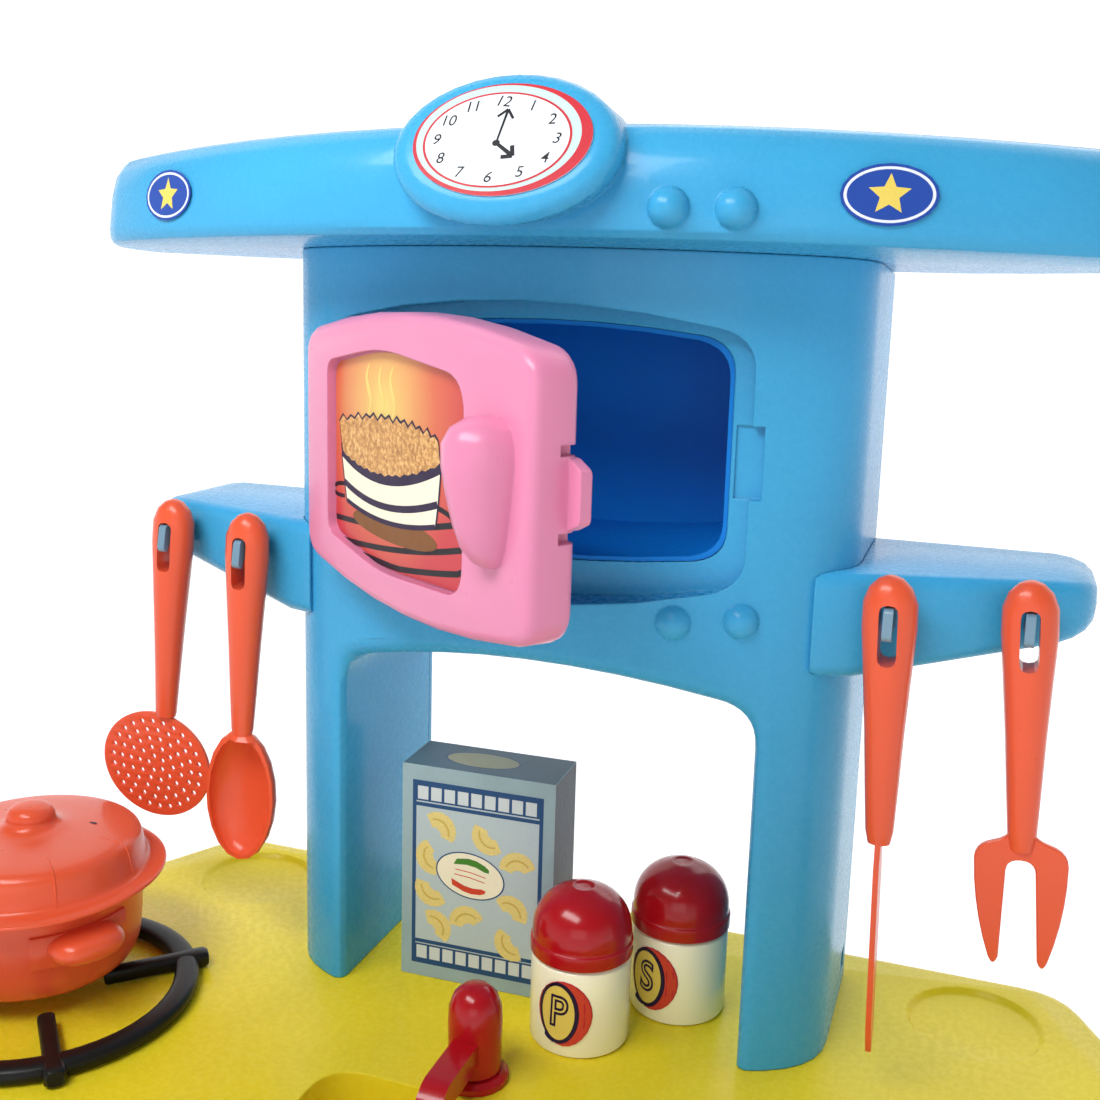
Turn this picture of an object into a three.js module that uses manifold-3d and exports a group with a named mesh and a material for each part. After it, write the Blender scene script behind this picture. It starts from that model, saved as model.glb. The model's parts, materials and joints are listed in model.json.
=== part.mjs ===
// Toy kitchen for small children: a worktop on a low base, an arched tower with a play oven,
// a hood with a clock over it, two side arms with hooks, utensils, a pan and table things.
// Units are millimetres. +X is to the right, +Y to the back, +Z up; the floor is Z = 0 and
// the origin is the centre of the footprint.
import * as THREE from 'three';
import * as BufferGeometryUtils from 'three/addons/utils/BufferGeometryUtils.js';
import Module from 'manifold-3d';

const wasm = await Module();
wasm.setup();

// ---------------------------------------------------------------- driving dimensions
const GAP = 0.3;            // assembly gap between touching pieces
const FOOT_H = 12;
const TOP_Z = 400;          // upper face of the worktop
const TOP_T = 30;           // worktop thickness
const TOP_HALF = 340;       // half width of the worktop
const TOP_FRONT = -151;
const TOP_BACK = 151;

const TW_HALF = 150;        // tower half width
const TW_BACK = 122;
const TW_BOW_R = 300;       // radius of the bowed tower front, in plan
const TW_FRONT = -15;       // front of the tower on its centre line
const LEG_IN = 110;         // half width of the arch between the legs
const ARCH_SIDE = 583;      // height where the arch curve starts
const ARCH_MID = 603;       // crown of the arch

const LEDGE_Y = 8;          // flat ledge that the closed oven door rests against
const OVEN_HALF = 109;      // half width of the door rebate, which runs out on the left
const OVEN_CX = -7;         // middle of the rebate
const OVEN_MID_Z = 704.5;
const OVEN_HALF_H = 71;     // half height of the rebate on its centre line
const OVEN_SIDE_H = 58.5;   // half height of the rebate at its sides
const LINER_BACK = 112;

const HOOD_HALF = 272;
const HOOD_FRONT = -58;     // hood front on the centre line
const HOOD_END_Y = 22;      // hood front near its ends
const HOOD_BACK = 116;
const HOOD_LOW_BACK = 794;  // underside height at the back
const HOOD_LOW_FRONT = 802; // underside height at the front
const HOOD_TOP = 851;
const CLOCK_TILT = 27;      // degrees that the clock face leans back
const CLOCK = { x: 2.6, y: -63, z: 841 };

const ARM_TOP = 655;
const ARM_TIP = 258;
const PEG_Z = 640;
const armFrontY = (x) => 19.5 + 0.3 * (x - TW_HALF);
const pegSpot = (x) => ({ x, y: armFrontY(x) });
const INNER_PEG = pegSpot(168);
const OUTER_PEG = pegSpot(228);

const DOOR_T = 22;
const DOOR_OPEN = 37;       // degrees open in the stored pose
const DOOR_MID_Z = 702.5;
const DOOR_HALF = 105.2;
const PIVOT = { x: -110, y: -1.5 };

const HOB = { x: -250, y: -68 };
const HOB_H = 9.5;
const PAN = { x: -267, y: -51 };
const PAN_TURN = -115;      // degrees, turns the pan's ears
const BASE_X = 262;         // inner face of the base sides

// ---------------------------------------------------------------- materials
const BLUE = 0x64c3ec, YELLOW = 0xdcd43c, ORANGE = 0xf0603c, PINK = 0xe884b4;
const plastic = (color, roughness = 0.35) =>
  new THREE.MeshStandardMaterial({ color, roughness, metalness: 0 });

const kitchen = new THREE.Group();
kitchen.name = 'toy_kitchen';

function addPart(name, geometry, material, parent = kitchen) {
  const mesh = new THREE.Mesh(geometry, material);
  mesh.name = name;
  parent.add(mesh);
  return mesh;
}

// ---------------------------------------------------------------- solid helpers
function toSolid(geometry) {
  const g = geometry.clone();
  g.deleteAttribute('normal');
  g.deleteAttribute('uv');
  const merged = BufferGeometryUtils.mergeVertices(g, 1e-4);
  return new wasm.Manifold(new wasm.Mesh({
    numProp: 3,
    vertProperties: new Float32Array(merged.attributes.position.array),
    triVerts: new Uint32Array(merged.index.array),
  }));
}

function toGeometry(solid) {
  const m = solid.getMesh();
  const g = new THREE.BufferGeometry();
  g.setAttribute('position', new THREE.BufferAttribute(new Float32Array(m.vertProperties), 3));
  g.setIndex(new THREE.BufferAttribute(new Uint32Array(m.triVerts), 1));
  g.computeVertexNormals();
  return g;
}

const cut = (base, ...tools) =>
  toGeometry(tools.reduce((s, t) => s.subtract(toSolid(t)), toSolid(base)));
const fuse = (base, ...more) =>
  toGeometry(more.reduce((s, t) => s.add(toSolid(t)), toSolid(base)));

function box(x0, x1, y0, y1, z0, z1) {
  const g = new THREE.BoxGeometry(x1 - x0, y1 - y0, z1 - z0);
  g.translate((x0 + x1) / 2, (y0 + y1) / 2, (z0 + z1) / 2);
  return g;
}

// Upright extrusion of a plan outline between two heights, with rounded rims.
function upright(shape, z0, z1, round = 0, steps = 2, curveSegments = 6) {
  const g = new THREE.ExtrudeGeometry(shape, {
    depth: z1 - z0 - 2 * round, bevelEnabled: round > 0, bevelThickness: round,
    bevelSize: round, bevelOffset: -round, bevelSegments: steps, curveSegments,
  });
  g.translate(0, 0, z0 + round);
  return g;
}

// Extrusion of a front-view outline (x, z) between two depths y0 < y1.
function frontal(shape, y0, y1, round = 0, steps = 2, curveSegments = 6) {
  const g = upright(shape, 0, y1 - y0, round, steps, curveSegments);
  g.rotateX(Math.PI / 2);
  g.translate(0, y1, 0);
  return g;
}

// Extrusion of a side-view outline (y, z) between two widths x0 < x1.
function sideways(shape, x0, x1, round = 0, steps = 2, curveSegments = 6) {
  const g = upright(shape, 0, x1 - x0, round, steps, curveSegments);
  g.rotateX(Math.PI / 2);
  g.rotateZ(Math.PI / 2);
  g.translate(x0, 0, 0);
  return g;
}

function polygon(points) {
  const s = new THREE.Shape();
  points.forEach(([a, b], i) => (i ? s.lineTo(a, b) : s.moveTo(a, b)));
  s.closePath();
  return s;
}

// Polygon with each corner rounded to its own radius.
function roundedPolygon(points, radii) {
  const s = new THREE.Shape();
  const n = points.length;
  for (let i = 0; i < n; i++) {
    const p = new THREE.Vector2(...points[i]);
    const a = new THREE.Vector2(...points[(i + n - 1) % n]);
    const b = new THREE.Vector2(...points[(i + 1) % n]);
    const r = Array.isArray(radii) ? radii[i] : radii;
    const p0 = p.clone().add(a.sub(p).setLength(r));
    const p1 = p.clone().add(b.sub(p).setLength(r));
    if (i === 0) s.moveTo(p0.x, p0.y); else s.lineTo(p0.x, p0.y);
    if (r > 0) s.quadraticCurveTo(p.x, p.y, p1.x, p1.y);
  }
  s.closePath();
  return s;
}

const roundedRect = (x0, x1, y0, y1, r) =>
  roundedPolygon([[x0, y0], [x1, y0], [x1, y1], [x0, y1]], r);

function ellipse(rx, ry, cx = 0, cy = 0) {
  const s = new THREE.Shape();
  s.absellipse(cx, cy, rx, ry, 0, Math.PI * 2);
  return s;
}

// Skin over a row of closed rings with equal point counts, capped at both ends.
function loft(rings) {
  const n = rings[0].length;
  const points = rings.flat();
  const index = [];
  for (let k = 0; k + 1 < rings.length; k++) {
    for (let i = 0; i < n; i++) {
      const a = k * n + i, b = k * n + (i + 1) % n, c = a + n, d = b + n;
      index.push(a, b, c, b, d, c);
    }
  }
  for (const [k, flip] of [[0, true], [rings.length - 1, false]]) {
    const centre = new THREE.Vector3();
    rings[k].forEach((p) => centre.addScaledVector(p, 1 / n));
    points.push(centre);
    for (let i = 0; i < n; i++) {
      const a = k * n + i, b = k * n + (i + 1) % n;
      index.push(...(flip ? [b, a, points.length - 1] : [a, b, points.length - 1]));
    }
  }
  let volume = 0;
  for (let t = 0; t < index.length; t += 3) {
    const [a, b, c] = [points[index[t]], points[index[t + 1]], points[index[t + 2]]];
    volume += a.dot(b.clone().cross(c)) / 6;
  }
  if (volume < 0) {
    for (let t = 0; t < index.length; t += 3) {
      [index[t], index[t + 1]] = [index[t + 1], index[t]];
    }
  }
  const g = new THREE.BufferGeometry();
  g.setAttribute('position', new THREE.Float32BufferAttribute(points.flatMap((p) => p.toArray()), 3));
  g.setIndex(index);
  g.computeVertexNormals();
  return g;
}

// Rounded four-sided section as a list of [u, v], u0 < u1, v0 < v1, corner radii
// for (u0 v0), (u1 v0), (u1 v1), (u0 v1).
function section(u0, u1, v0, v1, radii, steps = 3) {
  const corners = [[u0, v0, 1, 1, 180], [u1, v0, -1, 1, 270], [u1, v1, -1, -1, 0], [u0, v1, 1, -1, 90]];
  return corners.flatMap(([u, v, su, sv, start], k) => {
    const r = radii[k];
    return Array.from({ length: steps + 1 }, (_, i) => {
      const a = THREE.MathUtils.degToRad(start + (90 * i) / steps);
      return [u + su * r + r * Math.cos(a), v + sv * r + r * Math.sin(a)];
    });
  });
}

// Round bar along Z: [z, rx, ry, x, y] per station.
function bar(stations, sides = 14) {
  return loft(stations.map(([z, rx, ry, x = 0, y = 0]) =>
    Array.from({ length: sides }, (_, i) => {
      const a = (2 * Math.PI * i) / sides;
      return new THREE.Vector3(x + rx * Math.cos(a), y + ry * Math.sin(a), z);
    })));
}

const turned = (points, segments = 24) => {
  const g = new THREE.LatheGeometry(points.map(([r, z]) => new THREE.Vector2(r, z)), segments);
  g.rotateX(Math.PI / 2);
  return g;
};

const ball = (r, x, y, z, w = 14, h = 8) => new THREE.SphereGeometry(r, w, h).translate(x, y, z);

// ---------------------------------------------------------------- tower
const towerFrontY = (x) => TW_FRONT + TW_BOW_R - Math.sqrt(TW_BOW_R ** 2 - x * x);
const hoodLowZ = (y) => HOOD_LOW_BACK
  + ((HOOD_LOW_FRONT - HOOD_LOW_BACK) * (HOOD_BACK - y)) / (HOOD_BACK - HOOD_FRONT);

// Bowed front with softly rounded corners; grow moves the whole outline outward.
function towerPlan(backY, grow = 0) {
  const edge = 124, half = TW_HALF + grow;
  const s = new THREE.Shape();
  s.moveTo(half, backY);
  s.lineTo(-half, backY);
  s.lineTo(-half, 50);
  s.quadraticCurveTo(-half, 24 - grow, -edge, towerFrontY(edge) - grow);
  for (let i = 1; i <= 18; i++) {
    const x = -edge + (2 * edge * i) / 18;
    s.lineTo(x, towerFrontY(x) - grow);
  }
  s.quadraticCurveTo(half, 24 - grow, half, 50);
  s.closePath();
  return s;
}

// Cutter for a hole through the tower whose front edge is rounded to radius r and follows
// the bow; outline(grow) gives the hole's shape.
function flaredHole(outline, r, steps = 4) {
  const ring = (grow, depthAt) => outline(grow).getPoints(8).slice(0, -1)
    .map((p) => new THREE.Vector3(p.x, depthAt(p.x), p.y));
  const rings = [ring(r, () => -60)];
  for (let i = steps; i >= 0; i--) {
    const a = (Math.PI / 2) * (i / steps);
    rings.push(ring(r * (1 - Math.cos(a)), (x) => towerFrontY(x) + r * (1 - Math.sin(a))));
  }
  rings.push(ring(0, () => 200));
  return loft(rings);
}

// Arched doorway between the legs, (x, z).
function archShape(grow = 0, low = TOP_Z - 20) {
  const w = LEG_IN + grow, r = 16;
  const s = new THREE.Shape();
  s.moveTo(-w, low);
  s.lineTo(w, low);
  s.lineTo(w, ARCH_SIDE - r + grow);
  s.quadraticCurveTo(w, ARCH_SIDE + 4 + grow, w - r * 1.2, ARCH_SIDE + 8 + grow);
  s.quadraticCurveTo(0, 2 * ARCH_MID - ARCH_SIDE - 8 + grow, -w + r * 1.2, ARCH_SIDE + 8 + grow);
  s.quadraticCurveTo(-w, ARCH_SIDE + 4 + grow, -w, ARCH_SIDE - r + grow);
  s.closePath();
  return s;
}

// Barrel-sided oven outline with bowed top and bottom, (x, z) about the oven centre.
function ovenShape(half, sideH, halfH, cx = 0, cz = OVEN_MID_Z, r = 16) {
  const s = new THREE.Shape();
  const bow = 2 * halfH - sideH;
  s.moveTo(cx + half, cz - sideH + r);
  s.lineTo(cx + half, cz + sideH - r);
  s.quadraticCurveTo(cx + half, cz + sideH, cx + half - r * 1.1, cz + sideH + 3);
  s.quadraticCurveTo(cx, cz + bow - 3, cx - half + r * 1.1, cz + sideH + 3);
  s.quadraticCurveTo(cx - half, cz + sideH, cx - half, cz + sideH - r);
  s.lineTo(cx - half, cz - sideH + r);
  s.quadraticCurveTo(cx - half, cz - sideH, cx - half + r * 1.1, cz - sideH - 3);
  s.quadraticCurveTo(cx, cz - bow + 3, cx + half - r * 1.1, cz - sideH - 3);
  s.quadraticCurveTo(cx + half, cz - sideH, cx + half, cz - sideH + r);
  s.closePath();
  return s;
}

const cavityShape = (grow = 0) =>
  ovenShape(92 + grow, 50 + grow, 58 + grow, 0, OVEN_MID_Z + 4.5, 14);
const rebateShape = ovenShape(OVEN_HALF, OVEN_SIDE_H, OVEN_HALF_H, OVEN_CX);

function buildTower() {
  const backY = TW_BACK - 4 - GAP;
  const bumps = [[71, 629], [101, 631]].map(([x, z]) => ball(9, x, towerFrontY(x) + 2.5, z));
  const body = fuse(upright(towerPlan(backY), TOP_Z + GAP, 830, 0, 0, 5), ...bumps);
  const roof = sideways(polygon([
    [-80, hoodLowZ(-80) - GAP], [200, hoodLowZ(200) - GAP], [200, 900], [-80, 900]]), -200, 200);
  const latchSlot = box(94, 107.5, -20, LEDGE_Y + 1.5, 688, 722);
  const clips = [-1, 1].map((s) => box(s * 150 - 6, s * 150 + 6, 100, 112, 411, 424));
  addPart('tower_front', cut(
    body, roof, flaredHole(archShape, 8),
    frontal(rebateShape, -60, LEDGE_Y),
    frontal(cavityShape(), -60, 200), latchSlot, ...clips,
  ), plastic(BLUE));

  const back = cut(
    box(-TW_HALF, TW_HALF, TW_BACK - 4, TW_BACK, TOP_Z + GAP, 830),
    roof, frontal(archShape(), 60, 200));
  addPart('tower_back', back, plastic(BLUE, 0.45));

  // A press-in tray with 2 mm walls lines the oven.
  const y0 = LEDGE_Y + 1, y1 = LINER_BACK;
  const tray = cut(
    frontal(cavityShape(-GAP), y0, y1), frontal(cavityShape(-GAP - 2), y0 - 5, y1 - 2.5));
  addPart('oven_liner', tray, plastic(0x0a3c8c, 0.5));

  const screwSpots = [[-130, 425], [130, 425], [-130, 610], [130, 610], [-130, 775], [130, 775]];
  screwSpots.forEach(([x, z], i) => {
    const head = turned([[0, 0], [4, 0], [4, 1.2], [2.6, 2.2], [1.6, 2.2], [1.6, 1.2], [0, 1.2]], 10);
    head.rotateX(-Math.PI / 2);
    head.translate(x, TW_BACK + GAP, z);
    addPart(`back_screw_${i + 1}`, head, new THREE.MeshStandardMaterial({
      color: 0xb8bcc0, roughness: 0.35, metalness: 1 }));
  });
}

// ---------------------------------------------------------------- hood
function hoodRing(x, inset = 0) {
  const t = Math.abs(x) / HOOD_HALF;
  const front = HOOD_FRONT + (HOOD_END_Y - HOOD_FRONT) * t * t + inset;
  const back = HOOD_BACK - Math.max(0, (t - 0.72) / 0.28) * 34;
  const top = HOOD_TOP - 8 * t * t - inset * 0.35;
  const low = hoodLowZ(front);
  const lowBack = hoodLowZ(back);
  const rim = section(0, back - front, 0, top - low, [8, 4, 12, 18], 3);
  const span = back - front;
  return rim.map(([u, v]) => {
    const lean = 7 * Math.max(0, v / (top - low)) * Math.max(0, 1 - u / 60);
    const drop = ((lowBack - low) * u / span) * (1 - v / (top - low));
    return new THREE.Vector3(x, front + u + lean, low + v + drop);
  });
}

function buildHood() {
  const stations = [];
  const flat = HOOD_HALF - 26;
  const steps = 16;
  for (let i = 0; i <= steps; i++) stations.push([-flat + (2 * flat * i) / steps, 0]);
  const ends = [[10, 3], [18, 8], [23.5, 15], [26, 24]];
  ends.forEach(([dx, inset]) => {
    stations.push([flat + dx, inset]);
    stations.unshift([-flat - dx, inset]);
  });
  const shell = loft(stations.map(([x, inset]) => hoodRing(x, inset)));

  const n = clockNormal();
  const lean = THREE.MathUtils.degToRad(CLOCK_TILT);
  // [half width, half height, depth behind the clock face, extra shift back]
  const puff = [[42, 28, 0, 0], [47.4, 32.4, 1.6, 0], [50.2, 34.9, 4.4, 0], [51, 35.7, 7.5, 0],
    [49, 33, 7.5, 26], [46, 23, 12, 44]];
  const bezel = loft(puff.map(([w, h, depth, back]) => Array.from({ length: 32 }, (_, i) => {
    const a = (2 * Math.PI * i) / 32;
    const [u, v] = [w * Math.cos(a), h * Math.sin(a)];
    return new THREE.Vector3(CLOCK.x + u, CLOCK.y - n.y * depth + v * Math.sin(lean) + back,
      CLOCK.z - n.z * depth + v * Math.cos(lean));
  })));
  const bumps = [[72, 815], [99, 815]].map(([x, z]) =>
    ball(9, x, HOOD_FRONT + (HOOD_END_Y - HOOD_FRONT) * (x / HOOD_HALF) ** 2 + 3.5, z));
  addPart('hood', fuse(shell, bezel, ...bumps), plastic(BLUE));

  const label = upright(ellipse(39.7, 26.6), 0, 0.6, 0, 0, 20);
  label.rotateX(THREE.MathUtils.degToRad(90 - CLOCK_TILT));
  label.translate(CLOCK.x + 0.8, CLOCK.y + n.y * 0.2, CLOCK.z + n.z * 0.2);
  addPart('clock_label', label, plastic(0xffffff));

  [['badge_left', -196], ['badge_right', 158]].forEach(([name, x]) => {
    addPart(name, hoodBadge(x), plastic(0x1c4ca8));
  });
}

function clockNormal() {
  const t = THREE.MathUtils.degToRad(CLOCK_TILT);
  return new THREE.Vector3(0, -Math.cos(t), Math.sin(t));
}

// Thin oval sticker standing 0.25 mm off the hood's front face at x.
function hoodBadge(x) {
  const w = 19, h = 12.5, zMid = 822;
  const rim = 20, rows = [0.25, 0.85];
  const slope = 7 / (HOOD_TOP - HOOD_LOW_FRONT);
  const place = (u, v, lift) => {
    const px = x + u;
    const face = HOOD_FRONT + (HOOD_END_Y - HOOD_FRONT) * (px / HOOD_HALF) ** 2;
    const low = hoodLowZ(face);
    const y = face + slope * (zMid + v - low) * 1.0;
    return new THREE.Vector3(px, y - lift - 0.35, zMid + v);
  };
  return loft(rows.map((lift) => Array.from({ length: rim }, (_, i) => {
    const a = (2 * Math.PI * i) / rim;
    return place(w * Math.cos(a), h * Math.sin(a), lift);
  })));
}

// ---------------------------------------------------------------- arms and pegs
function buildArm(name, side) {
  const stations = [[133, 0], [150, 0], [176, 0], [202, 0], [226, 0], [240, 0],
    [248, 2.5], [253.5, 7], [ARM_TIP - 1, 14], [ARM_TIP, 20]];
  const rings = stations.map(([x, inset]) => {
    const t = Math.max(0, (x - TW_HALF) / (ARM_TIP - TW_HALF));
    const front = armFrontY(x) + inset;
    const back = TW_BACK - inset * 0.8;
    const low = 604 + 24 * t + inset * 0.35;
    const top = ARM_TOP - inset * 0.35;
    return section(front, back, low, top, [7, 4, 4, 7], 3)
      .map(([y, z]) => new THREE.Vector3(side * x, y, z));
  });
  addPart(name, cut(loft(rings), upright(towerPlan(200, GAP), 500, 700, 0, 0, 5)), plastic(BLUE));
}

// Flat peg with a drooping nose that a utensil's slot hangs on.
function buildPeg(name, side, spot) {
  const y = spot.y;
  const profile = roundedPolygon([
    [y - 1.1, PEG_Z - 8], [y - 1.1, PEG_Z + 5], [y - 25.5, PEG_Z + 5],
    [y - 28, PEG_Z - 8], [y - 25, PEG_Z - 10.5], [y - 22, PEG_Z - 5]], [0.5, 0.5, 2.5, 1.5, 1.5, 2]);
  const g = sideways(profile, -2.2, 2.2, 0, 0, 3);
  g.translate(side * spot.x, 0, 0);
  addPart(name, g, plastic(0x7496ac));
}

// ---------------------------------------------------------------- oven door
function buildDoor() {
  const swing = new THREE.Group();
  swing.position.set(PIVOT.x, PIVOT.y, 0);
  swing.rotation.z = -THREE.MathUtils.degToRad(DOOR_OPEN);
  kitchen.add(swing);

  // Modelled closed, in the frame of the hinge axis.
  const cx = DOOR_HALF - 4, back = LEDGE_Y - PIVOT.y - 0.6, front = back - DOOR_T;
  const outline = (inset) => ovenShape(
    DOOR_HALF - inset, 55.2 - inset, 67.2 - inset, cx, DOOR_MID_Z, 12);
  const rim = frontal(outline(0), front, back, 5, 3, 6);
  const dish = frontal(ovenShape(92, 46, 59, cx, DOOR_MID_Z, 10), back - 13, back + 4);
  const windowPocket = frontal(windowShape(cx, 1), front - 3, front + 5);
  const edge = cx + DOOR_HALF;
  const tab = roundedPolygon([[edge - 8, 691], [edge, 691], [edge + 8.4, 695], [edge + 8.4, 715],
    [edge, 719], [edge - 8, 719]], [0.5, 2, 2, 2, 2, 0.5]);
  const tongue = frontal(tab, back - 5.2, back - 0.2);
  const notches = [[686, 690.4], [719.6, 724]].map(([z0, z1]) =>
    box(edge - 7, edge + 1, back - 9, back + 1, z0, z1));
  const heel = box(-8, -2.2, 2.5, 14, 600, 800);
  const grip = loft(gripRings(cx + 77, front));
  const shell = cut(fuse(rim, grip), dish, windowPocket, heel, ...notches);
  const door = fuse(shell, tongue);
  addPart('oven_door', door, plastic(PINK), swing);

  const picture = frontal(windowShape(cx, 0), front + 4.2, front + 4.8);
  addPart('door_picture', picture, plastic(0xe2542c), swing);
}

// Window of the door, left of the handle, (x, z).
function windowShape(cx, grow) {
  const x0 = cx - 77 - grow, x1 = cx + 54 + grow;
  const z0 = DOOR_MID_Z - 50 - grow, z1 = DOOR_MID_Z + 50 + grow;
  return roundedPolygon([
    [x0, z0 + 10], [cx - 22, z0], [x1, z0 + 4], [x1, z1 - 8], [cx - 22, z1], [x0, z1 - 9]],
  [7, 20, 14, 16, 20, 7]);
}

// Pear-shaped grip: broad and round at the top, tapering to the face below.
function gripRings(x, faceY) {
  const stations = [[-29, 4, 3], [-27, 8, 7], [-21, 11, 12], [-12, 13, 15.5], [0, 15, 18.5], [11, 16.5, 20.5],
    [20, 16.5, 20.5], [26, 14, 17], [29.5, 9, 11], [30.5, 4, 5]];
  return stations.map(([z, rx, out]) => Array.from({ length: 16 }, (_, i) => {
    const a = (2 * Math.PI * i) / 16;
    const lift = Math.sin(a);
    const y = lift > 0 ? faceY + 6 * lift : faceY + out * lift;
    return new THREE.Vector3(x + rx * Math.cos(a), y, DOOR_MID_Z + z);
  }));
}

// ---------------------------------------------------------------- worktop and base
function topPlan() {
  const h = TOP_HALF, f = TOP_FRONT, b = TOP_BACK;
  return roundedPolygon([
    [-268, b], [-h, 0], [-h, -112], [-306, f], [306, f], [h, -112], [h, 0], [268, b]],
  [22, 44, 28, 20, 20, 28, 44, 22]);
}

function buildWorktop() {
  const slab = upright(topPlan(), TOP_Z - TOP_T, TOP_Z, 7, 2, 4);
  const sink = upright(roundedRect(-78, 72, -137, -64, 22), TOP_Z - 22, TOP_Z + 10);
  const dips = [-1, 1].map((s) => turned([
    [0, 3], [31, 3], [33, 3.6], [35.5, 6.5], [38.5, 7], [38.5, 12], [0, 12], [0, 3]], 28)
    .translate(s * 222, 99, TOP_Z - 7));
  addPart('worktop', cut(slab, sink, ...dips), plastic(YELLOW));
}

function buildHob() {
  const ring = turned([[69, 0], [80, 0], [81.5, 2], [81.5, 6], [78.5, 9], [71.5, 9], [68, 6], [68, 2],
    [69, 0]], 36);
  const spokes = [45, 135, 225, 315].flatMap((deg) => {
    const spoke = sideways(roundedRect(-4.5, 4.5, 1, HOB_H, 2.5), 32, 84, 0, 0, 3);
    const nub = new THREE.CylinderGeometry(5.5, 5.5, HOB_H + 0.5, 10).rotateX(Math.PI / 2)
      .translate(82.5, 0, (HOB_H + 0.5) / 2);
    return [spoke, nub].map((g) => g.rotateZ(THREE.MathUtils.degToRad(deg)));
  });
  const support = fuse(ring, ...spokes);
  support.translate(HOB.x, HOB.y, TOP_Z + GAP);
  addPart('pan_support', support, plastic(0x1b1b1d, 0.4));
}

function buildTap() {
  const at = { x: -8, y: -46 };
  const collar = turned([[0, 0], [17, 0], [17, 3], [14.5, 5], [0, 5]], 20);
  collar.translate(at.x, at.y, TOP_Z + GAP);
  addPart('tap_collar', collar, plastic(0xc8142c));
  const z0 = 5 + 2 * GAP;
  const column = turned([[0, z0], [13, z0], [13.4, 30], [13, 38], [10.8, 44], [6.4, 48], [0, 49.5]], 20);
  const spout = sideways(roundedPolygon([
    [4, 13], [-42, 13], [-42, 4], [-55, 4], [-55, 19], [-46, 25], [4, 25]],
  [1, 3, 1, 1, 4, 4, 1]), -6.5, 6.5, 0, 0, 4);
  const tap = fuse(column, spout);
  tap.translate(at.x, at.y, TOP_Z + GAP);
  addPart('tap', tap, plastic(0xc8142c));
}

function buildBase() {
  const z0 = FOOT_H + GAP, z1 = TOP_Z - TOP_T - GAP;
  const side = roundedPolygon([[-118, z0], [112, z0], [122, z1], [-132, z1]], [16, 16, 9, 9]);
  const hole = roundedPolygon([[-66, 150], [66, 150], [72, 300], [-72, 300]], 30);
  for (const s of [-1, 1]) {
    const x0 = s > 0 ? BASE_X : -BASE_X - 34;
    addPart(s > 0 ? 'base_side_right' : 'base_side_left',
      cut(sideways(side, x0, x0 + 34, 5, 2, 5), sideways(hole, x0 - 5, x0 + 40, 0, 0, 5)),
      plastic(BLUE));
    [-92, 88].forEach((y, i) => {
      const foot = turned([[0, 0], [13, 0], [14, 1.5], [14, FOOT_H - 1], [13, FOOT_H], [0, FOOT_H]], 16);
      foot.translate(x0 + 17, y, 0);
      addPart(`foot_${s > 0 ? 'right' : 'left'}_${i ? 'back' : 'front'}`, foot, plastic(0x2c4a66, 0.6));
    });
  }
  const panel = frontal(roundedRect(-BASE_X + GAP, BASE_X - GAP, 150, z1, 8), 96, 106, 3, 1, 3);
  addPart('base_back', panel, plastic(BLUE, 0.45));
  const shelf = upright(roundedRect(-BASE_X + GAP, BASE_X - GAP, -108, 95.7, 10), 92, 108, 4, 1, 3);
  addPart('base_shelf', shelf, plastic(YELLOW));
}

// ---------------------------------------------------------------- utensils
// Handle hanging from its slot: bulbous top, narrowing to the neck at z = neck.
function handle(x, y, neck = 531) {
  const body = bar([
    [neck, 5.2, 4.2], [neck + 6, 6.4, 5], [558, 7.6, 6.4], [585, 9, 8], [612, 10.8, 9.2],
    [634, 12.4, 9.6], [646, 12.2, 9], [653, 9.6, 7.4], [657, 5.6, 4.6], [658.5, 2, 1.8],
  ]);
  body.translate(x, y, 0);
  const slot = frontal(roundedRect(x - 4.2, x + 4.2, PEG_Z - 22, PEG_Z + 6 + GAP, 4), y - 20, y + 20, 0, 0, 3);
  return { body, slot };
}

// Swings a hanging utensil about its peg; a positive angle moves its lower end to -X.
function hang(name, geometry, x, degrees) {
  geometry.translate(-x, 0, -PEG_Z);
  geometry.rotateY(THREE.MathUtils.degToRad(degrees));
  geometry.translate(x, 0, PEG_Z);
  addPart(name, geometry, plastic(ORANGE));
}

function buildSkimmer(spot) {
  const x = -spot.x, y = spot.y - 15.5;
  const { body, slot } = handle(x, y, 526);
  const mid = { x: x - 5, z: 498.5 };
  const disc = new THREE.CylinderGeometry(1, 1, 2.4, 32).scale(36.5, 1, 31.5).translate(mid.x, y, mid.z);
  const holes = [];
  for (const [r, count] of [[9, 6], [18, 11]]) {
    for (let i = 0; i < count; i++) {
      const a = (2 * Math.PI * i) / count;
      holes.push(new THREE.CylinderGeometry(2.2, 2.2, 8, 6)
        .translate(mid.x + 1.16 * r * Math.cos(a), y, mid.z + r * Math.sin(a)));
    }
  }
  hang('skimmer', cut(fuse(body, disc), slot, ...holes), x, 4.4);
}

function buildSpoon(spot) {
  const x = -spot.x, y = spot.y - 15.5;
  const { body, slot } = handle(x, y);
  const outer = new THREE.SphereGeometry(1, 20, 12).scale(21.8, 13, 38.6).translate(x, y, 497.4);
  const hollow = new THREE.SphereGeometry(1, 20, 12).scale(19.8, 11.2, 35.6).translate(x, y - 0.5, 496.6);
  const front = box(x - 30, x + 30, y - 30, y - 1.5, 450, 531);
  const bowl = cut(outer, hollow, front);
  hang('spoon', cut(fuse(body, bowl), slot, hollow), x, 2.8);
}

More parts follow.
